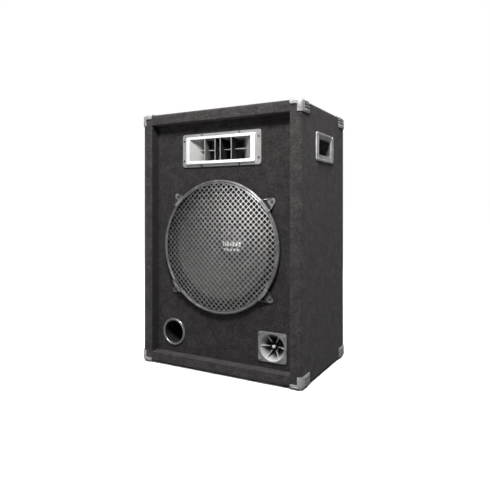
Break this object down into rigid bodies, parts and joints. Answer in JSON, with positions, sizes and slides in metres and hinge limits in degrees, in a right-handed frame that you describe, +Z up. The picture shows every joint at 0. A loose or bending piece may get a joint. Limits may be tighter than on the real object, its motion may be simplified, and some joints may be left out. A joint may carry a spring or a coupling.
{
  "type": "pa speaker cabinet",
  "caption": "Carpeted PA loudspeaker cabinet with a mid horn, a large grilled woofer, a round tweeter horn, a reflex port, side handles and metal corner protectors.",
  "frame": {"origin": "on the floor under the middle of the cabinet's outer box", "axes": "+Z up, the baffle faces -Y, +X is the viewer's right when facing the baffle"},
  "size_m": [0.5414, 0.3634, 0.7734],
  "materials": {
    "carpet": "matte",
    "panel_wood": "matte",
    "corner_metal": "satin",
    "grille_metal": "satin",
    "clamp_metal": "satin",
    "frame_metal": "satin",
    "screw_steel": "satin",
    "cone_paper": "matte",
    "surround_cloth": "matte",
    "spider_cloth": "matte",
    "gasket": "matte",
    "coil_former": "satin",
    "copper": "satin",
    "magnet_ferrite": "matte",
    "horn_plastic": "satin",
    "black_plastic": "satin",
    "red_plastic": "gloss",
    "port_plastic": "satin",
    "circuit_board": "satin",
    "lead_rubber": "satin",
    "wadding": "matte"
  },
  "bodies": {
    "cabinet": {"carpet_cover": "carpet", "side_panel_left": "panel_wood", "side_panel_right": "panel_wood", "top_panel": "panel_wood", "bottom_panel": "panel_wood", "rear_panel": "panel_wood", "front_baffle": "panel_wood", "front_batten_top": "panel_wood", "front_batten_bottom": "panel_wood", "front_batten_left": "panel_wood", "front_batten_right": "panel_wood", "corner_front_top_left": "corner_metal", "corner_front_top_right": "corner_metal", "corner_front_bottom_left": "corner_metal", "corner_front_bottom_right": "corner_metal", "corner_rear_top_left": "corner_metal", "corner_rear_top_right": "corner_metal", "corner_rear_bottom_left": "corner_metal", "corner_rear_bottom_right": "corner_metal", "handle_left": "corner_metal", "handle_right": "corner_metal", "grille_mesh": "grille_metal", "grille_rim": "grille_metal", "grille_clamp_1": "clamp_metal", "grille_clamp_2": "clamp_metal", "grille_clamp_3": "clamp_metal", "grille_clamp_4": "clamp_metal", "woofer_basket": "frame_metal", "clamp_screw_1": "screw_steel", "clamp_screw_2": "screw_steel", "clamp_screw_3": "screw_steel", "clamp_screw_4": "screw_steel", "top_plate": "screw_steel", "back_plate": "screw_steel", "surround": "surround_cloth", "spider": "spider_cloth", "woofer_gasket": "gasket", "crossover_coil": "copper", "magnet": "magnet_ferrite", "mid_driver": "magnet_ferrite", "mid_horn": "horn_plastic", "tweeter_horn": "horn_plastic", "terminal_plate": "black_plastic", "jack_socket_1": "black_plastic", "jack_socket_2": "black_plastic", "clip_block": "black_plastic", "tweeter_driver": "black_plastic", "crossover_capacitor": "black_plastic", "reflex_port": "port_plastic", "crossover_board": "circuit_board", "input_lead": "lead_rubber", "woofer_lead": "lead_rubber", "mid_lead": "lead_rubber", "tweeter_lead": "lead_rubber", "damping_mat": "wadding"},
    "cone_assembly": {"cone": "cone_paper", "dust_cap": "cone_paper", "voice_coil": "coil_former"},
    "red_lever": {"lever_red": "red_plastic"},
    "black_lever": {"lever_black": "black_plastic"}
  },
  "joints": [
    {"name": "woofer_travel", "type": "slide", "parent": "cabinet", "child": "cone_assembly", "axis": [0, -1, 0], "range_m": [-0.006, 0.006], "stiffness_N_per_m": 8200, "deforming": ["surround", "spider"]},
    {"name": "red_lever_press", "type": "hinge", "parent": "cabinet", "child": "red_lever", "pos_m": [0.011, 0.1665, 0.2047], "axis": [1, 0, 0], "range_deg": [0, 20], "stiffness_Nm_per_rad": 0.2, "springref_deg": -11.46},
    {"name": "black_lever_press", "type": "hinge", "parent": "cabinet", "child": "black_lever", "pos_m": [0.033, 0.1665, 0.2047], "axis": [1, 0, 0], "range_deg": [0, 20], "stiffness_Nm_per_rad": 0.2, "springref_deg": -11.46}
  ]
}
